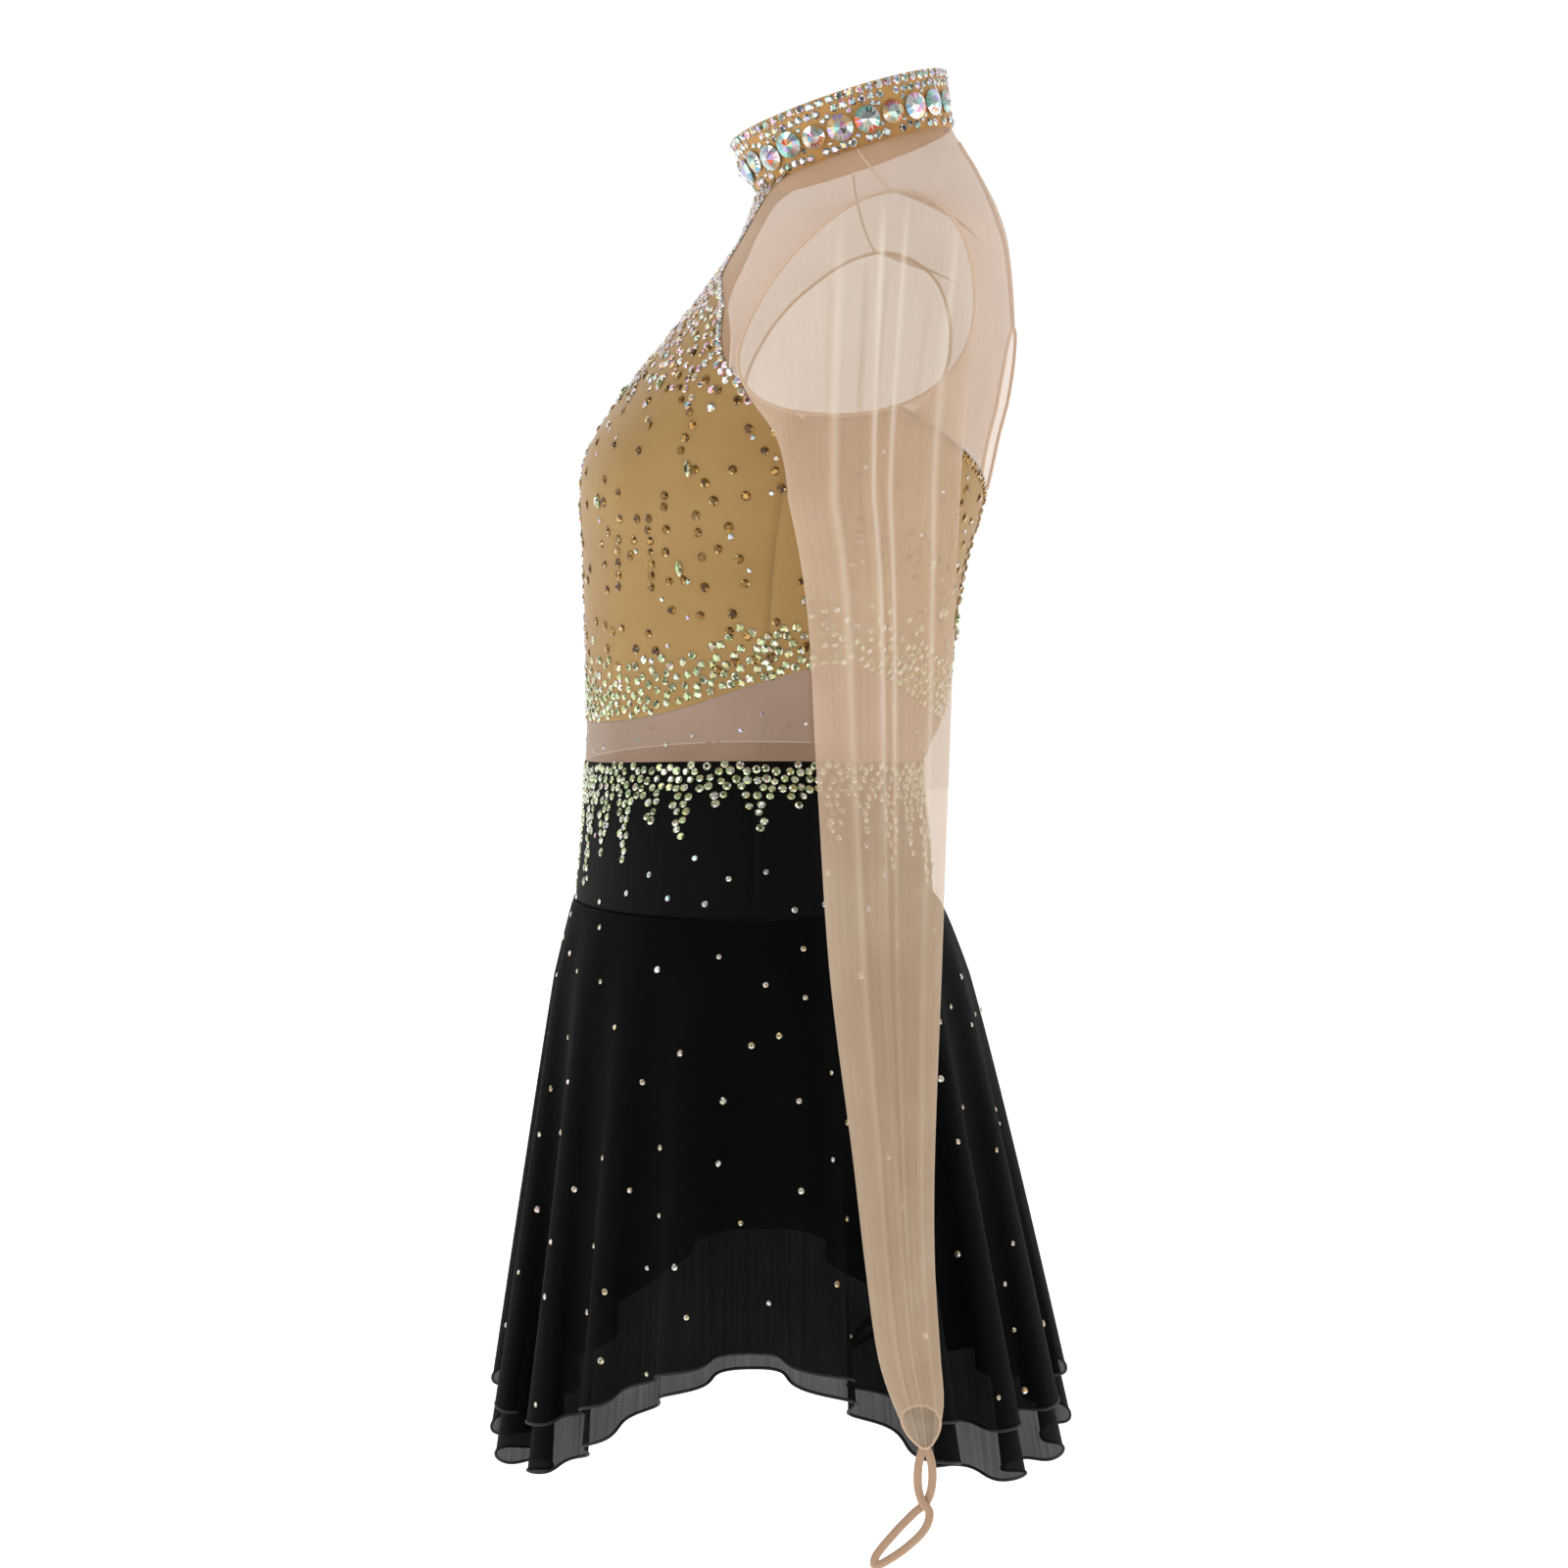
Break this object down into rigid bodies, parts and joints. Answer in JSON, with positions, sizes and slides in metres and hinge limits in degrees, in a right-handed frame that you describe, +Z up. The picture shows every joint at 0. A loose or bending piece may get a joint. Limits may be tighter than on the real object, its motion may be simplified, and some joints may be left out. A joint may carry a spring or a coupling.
{
  "type": "cheer uniform",
  "caption": "Long-sleeved cheer and skating dress with a standing collar, halter bodice, sheer sleeves, open back, short skirt and briefs.",
  "frame": {"origin": "in the neck opening, level with where the collar is sewn to the dress and within 10 mm of its middle", "axes": "+Z up along the wearer, +Y towards the wearer's back, +X towards the wearer's left"},
  "size_m": [0.524, 0.3432, 0.8403],
  "materials": {
    "gold_lycra": "lined mustard-gold stretch cloth",
    "nude_mesh": "sheer skin-tone stretch mesh",
    "black_mesh": "sheer black stretch mesh with a rolled hem",
    "black_lycra": "opaque black stretch cloth",
    "foam": "cloth-covered thin foam",
    "elastic": "braided black elastic",
    "crystal": "cut glass with an iridescent coat and a mirrored back",
    "nickel": "nickel-plated sewn snap"
  },
  "bodies": {
    "dress": {"front_bodice": "gold_lycra", "back_bodice": "gold_lycra", "collar_band": "gold_lycra", "collar_underlap": "gold_lycra", "front_yoke_left": "nude_mesh", "front_yoke_right": "nude_mesh", "back_yoke_left": "nude_mesh", "back_yoke_right": "nude_mesh", "front_midriff": "nude_mesh", "back_midriff": "nude_mesh", "front_under_skirt": "black_mesh", "back_under_skirt": "black_mesh", "front_over_skirt": "black_mesh", "back_over_skirt": "black_mesh", "front_hip_yoke": "black_lycra", "back_hip_yoke": "black_lycra", "brief_front": "black_lycra", "brief_back": "black_lycra", "gusset": "black_lycra", "bust_cup_left": "foam", "bust_cup_right": "foam", "waist_elastic": "elastic", "collar_stone_01": "crystal", "collar_stone_02": "crystal", "collar_stone_03": "crystal", "collar_stone_04": "crystal", "collar_stone_05": "crystal", "collar_stone_06": "crystal", "collar_stone_07": "crystal", "collar_stone_08": "crystal", "collar_stone_09": "crystal", "collar_stone_10": "crystal", "collar_stone_11": "crystal", "collar_stone_12": "crystal", "collar_stone_13": "crystal", "collar_stone_14": "crystal", "collar_stone_15": "crystal", "collar_stone_16": "crystal", "collar_stone_17": "crystal", "collar_stone_18": "crystal", "collar_stone_19": "crystal", "collar_stone_20": "crystal", "collar_stone_21": "crystal", "collar_stone_22": "crystal", "collar_stone_23": "crystal", "upper_snap_stud": "nickel", "lower_snap_stud": "nickel"},
    "sleeve_left": {"left_top_sleeve": "nude_mesh", "left_under_sleeve": "nude_mesh"},
    "sleeve_right": {"right_top_sleeve": "nude_mesh", "right_under_sleeve": "nude_mesh"},
    "loop_left": {"left_finger_loop": "nude_mesh"},
    "loop_right": {"right_finger_loop": "nude_mesh"},
    "flap": {"collar_flap": "gold_lycra", "upper_snap_socket": "nickel", "lower_snap_socket": "nickel"}
  },
  "joints": [
    {"name": "left_shoulder", "type": "hinge", "parent": "dress", "child": "sleeve_left", "pos_m": [0.168, 0.0242, -0.0448], "axis": [0, -1, 0], "range_deg": [0, 75]},
    {"name": "right_shoulder", "type": "hinge", "parent": "dress", "child": "sleeve_right", "pos_m": [-0.168, 0.0242, -0.0448], "axis": [0, 1, 0], "range_deg": [0, 75]},
    {"name": "left_loop_swing", "type": "hinge", "parent": "sleeve_left", "child": "loop_left", "pos_m": [0.257, 0.04, -0.729], "axis": [1, 0, 0], "range_deg": [-15, 15]},
    {"name": "right_loop_swing", "type": "hinge", "parent": "sleeve_right", "child": "loop_right", "pos_m": [-0.257, 0.04, -0.729], "axis": [1, 0, 0], "range_deg": [-15, 15]},
    {"name": "collar_flap_hinge", "type": "hinge", "parent": "dress", "child": "flap", "pos_m": [0.01456, 0.06225, 0.02999], "axis": [-0.0392, 0.1433, -0.9889], "range_deg": [0, 75]}
  ]
}
